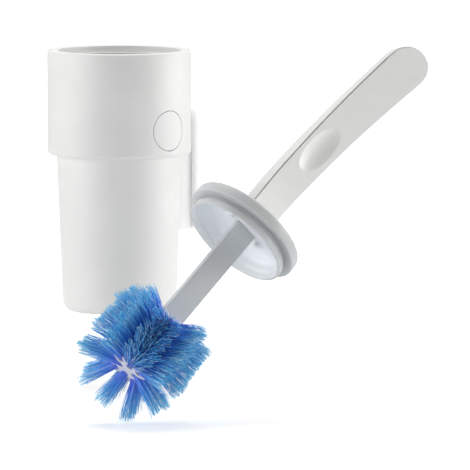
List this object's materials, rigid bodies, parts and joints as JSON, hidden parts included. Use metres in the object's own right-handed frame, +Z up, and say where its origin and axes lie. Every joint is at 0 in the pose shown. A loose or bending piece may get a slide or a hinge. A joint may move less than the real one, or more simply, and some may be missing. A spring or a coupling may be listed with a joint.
{
  "type": "toilet brush holder",
  "caption": "Wall-hung toilet brush holder: tapered cup in a round collar with a release button, hooked on a slide-on wall plate, and its lidded brush leaning beside it.",
  "frame": {"origin": "middle of the wall plate's back face, on the wall", "axes": "+Y out of the plate's back into the wall, +Z up, the cup's axis upright 60 mm in front of the wall"},
  "size_m": [0.3195, 0.2767, 0.2613],
  "materials": {
    "holder_plastic": "satin white",
    "bracket_plastic": "matt white",
    "lid_plastic": "satin white",
    "handle_plastic": "satin white",
    "shaft_plastic": "satin grey",
    "core_plastic": "satin white",
    "bristle_nylon": "blue nylon",
    "latch_plastic": "plain grey",
    "spring_steel": "spring steel",
    "screw_steel": "zinc plated"
  },
  "bodies": {
    "wall": {"wall_plate": "bracket_plastic"},
    "holder": {"bracket_block": "bracket_plastic", "collar": "holder_plastic", "collar_screws": "screw_steel", "ring_spring": "spring_steel"},
    "cup": {"cup": "holder_plastic"},
    "button": {"release_button": "holder_plastic", "latch_ring": "latch_plastic"},
    "brush": {"lid": "lid_plastic", "retainer_ring": "lid_plastic", "shaft": "shaft_plastic", "handle": "handle_plastic", "head_core": "core_plastic", "bristle_row_1": "bristle_nylon", "bristle_row_2": "bristle_nylon", "bristle_row_3": "bristle_nylon", "bristle_row_4": "bristle_nylon", "bristle_row_5": "bristle_nylon", "bristle_row_6": "bristle_nylon", "bristle_row_7": "bristle_nylon", "bristle_row_8": "bristle_nylon"}
  },
  "joints": [
    {"name": "holder_lift", "type": "slide", "parent": "wall", "child": "holder", "axis": [0, 0, 1], "range_m": [0, 0.056]},
    {"name": "cup_lift", "type": "slide", "parent": "holder", "child": "cup", "axis": [0, 0, 1], "range_m": [0, 0.195]},
    {"name": "button_press", "type": "slide", "parent": "holder", "child": "button", "axis": [-1, 0, 0], "range_m": [0, 0.0015], "stiffness_N_per_m": 2000, "deforming": ["ring_spring"]},
    {"name": "brush_lift", "type": "slide", "parent": "wall", "child": "brush", "axis": [0, 0, 1], "range_m": [0, 0.2]}
  ]
}
